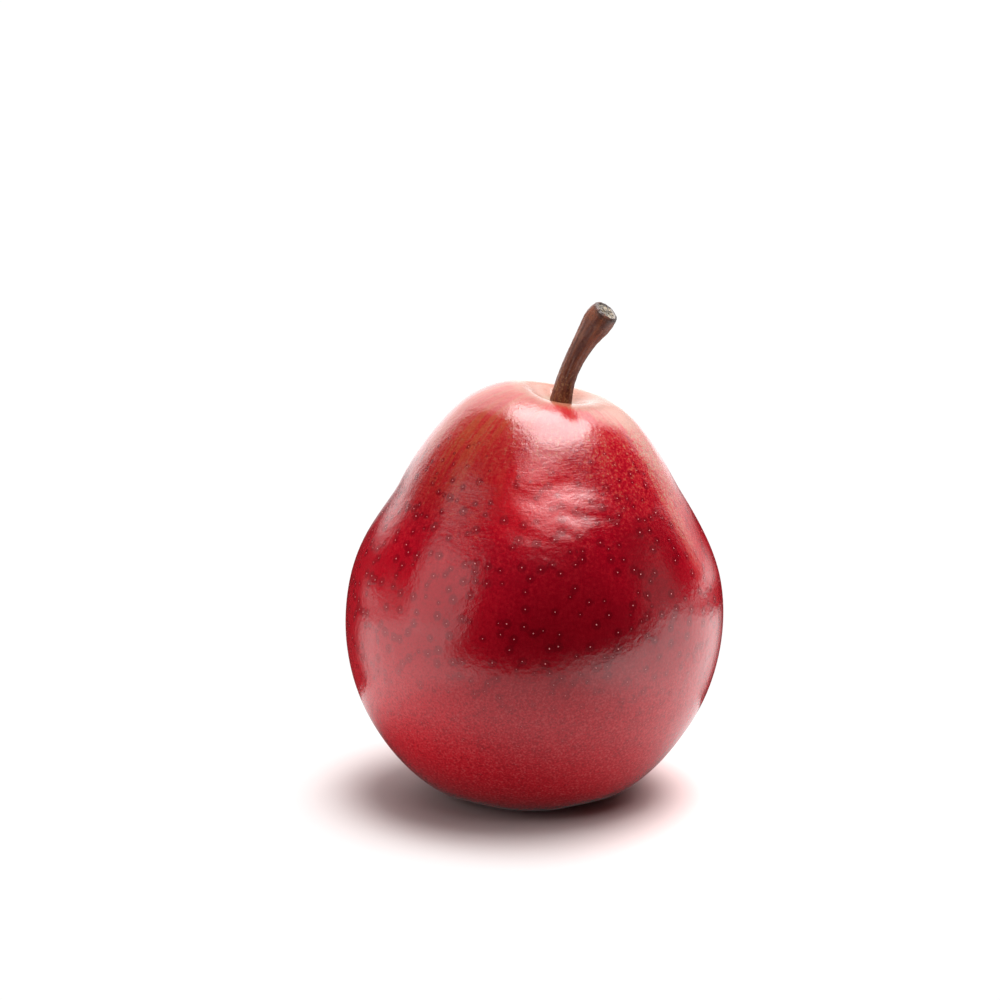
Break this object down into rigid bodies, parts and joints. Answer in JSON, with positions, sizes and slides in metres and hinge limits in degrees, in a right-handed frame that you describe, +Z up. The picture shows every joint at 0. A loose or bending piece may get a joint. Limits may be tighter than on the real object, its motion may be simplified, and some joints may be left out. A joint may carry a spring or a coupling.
{
  "type": "pear",
  "caption": "Squat red pear standing on its eye end, with a leaning woody stem in the hollow on top and a dried calyx in the basin underneath.",
  "frame": {"origin": "on the table, under the middle of the belly", "axes": "+Z up from the eye end to the stem end, +X towards the side the stem leans to, -Y towards the viewer who sees the broader shoulder on the left"},
  "size_m": [0.0761, 0.0748, 0.1006],
  "materials": {
    "skin": "waxy gloss, crimson with pale dots and pinkish streaks at the shoulder",
    "bark": "dull brown bark, pale at the picked end",
    "dried_sepal": "dull, dry and dark brown"
  },
  "bodies": {
    "root": {"fruit": "skin", "stem": "bark", "calyx": "dried_sepal"}
  },
  "joints": []
}
